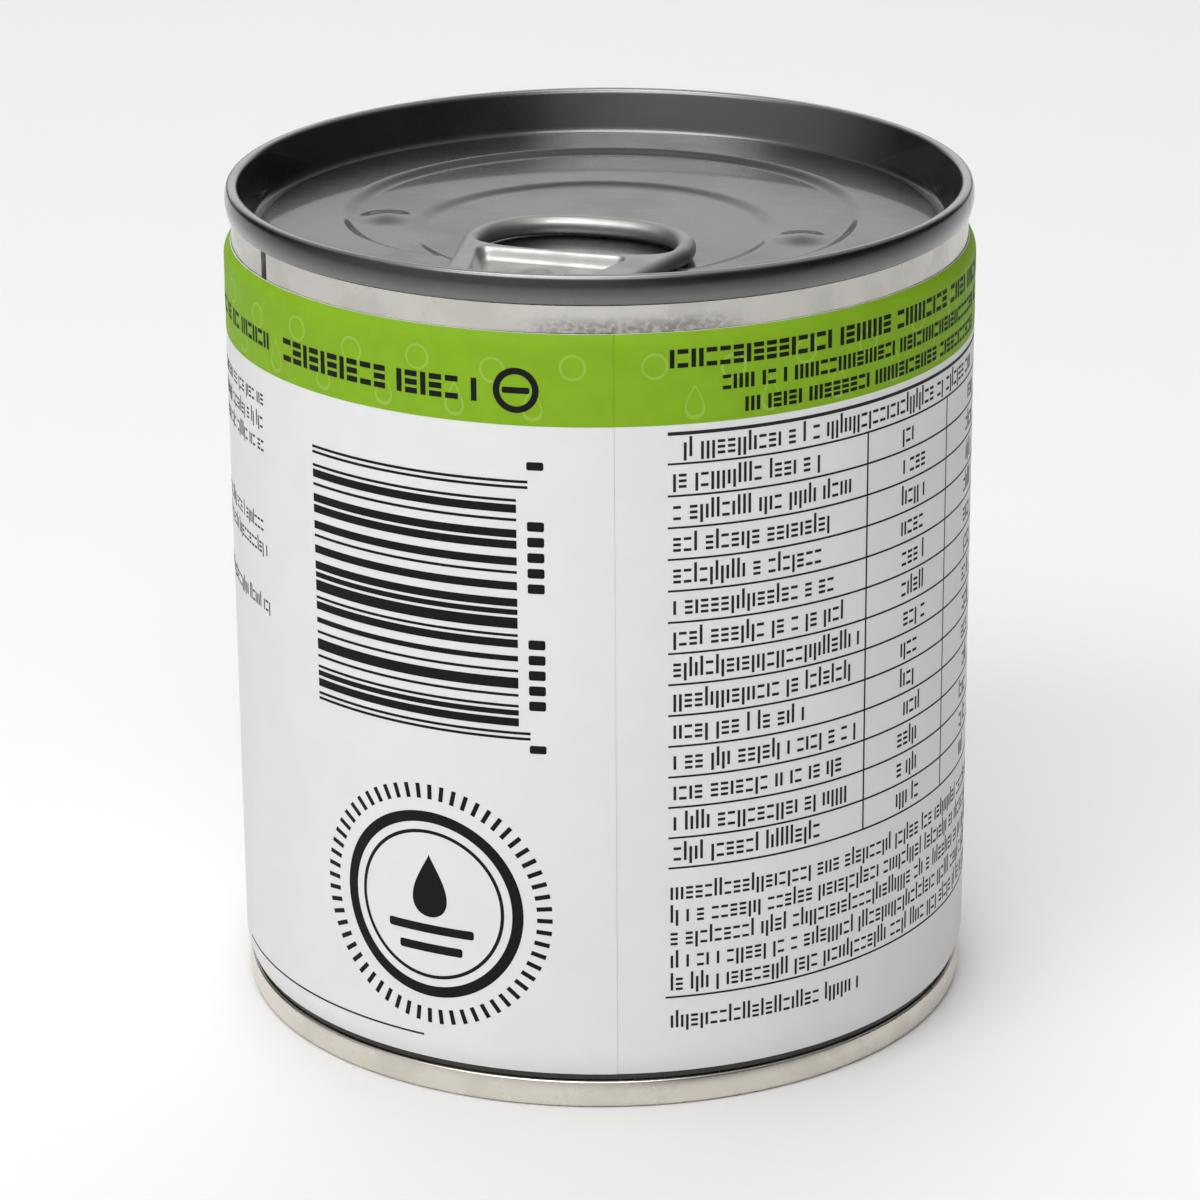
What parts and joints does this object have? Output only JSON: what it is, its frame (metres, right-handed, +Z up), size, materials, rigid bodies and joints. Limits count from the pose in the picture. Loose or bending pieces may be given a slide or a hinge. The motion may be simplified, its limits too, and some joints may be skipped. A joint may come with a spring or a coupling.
{
  "type": "condensed milk can",
  "caption": "Short round steel food can, shut, with a white and green paper label, a seamed dark lid that opens by a ring pull, and a seamed base.",
  "frame": {"origin": "centre of the ring that the can stands on, in the plane of the floor", "axes": "+Z up along the axis of the can; the nose of the ring pull points along -Y and +X is to the right of a viewer who faces the nose"},
  "size_m": [0.0738, 0.0738, 0.083],
  "materials": {
    "tinplate": "bright tinplate with fine scuffs",
    "label_paper": "smooth coated paper, printed green and black",
    "base_tinplate": "warm lacquered tinplate",
    "lid_metal": "glossy grey lacquer on steel",
    "pull_metal": "bright pressed metal"
  },
  "bodies": {
    "root": {"can_body": "tinplate", "label": "label_paper", "base": "base_tinplate", "lid": "lid_metal", "pull_tab": "pull_metal"}
  },
  "joints": []
}
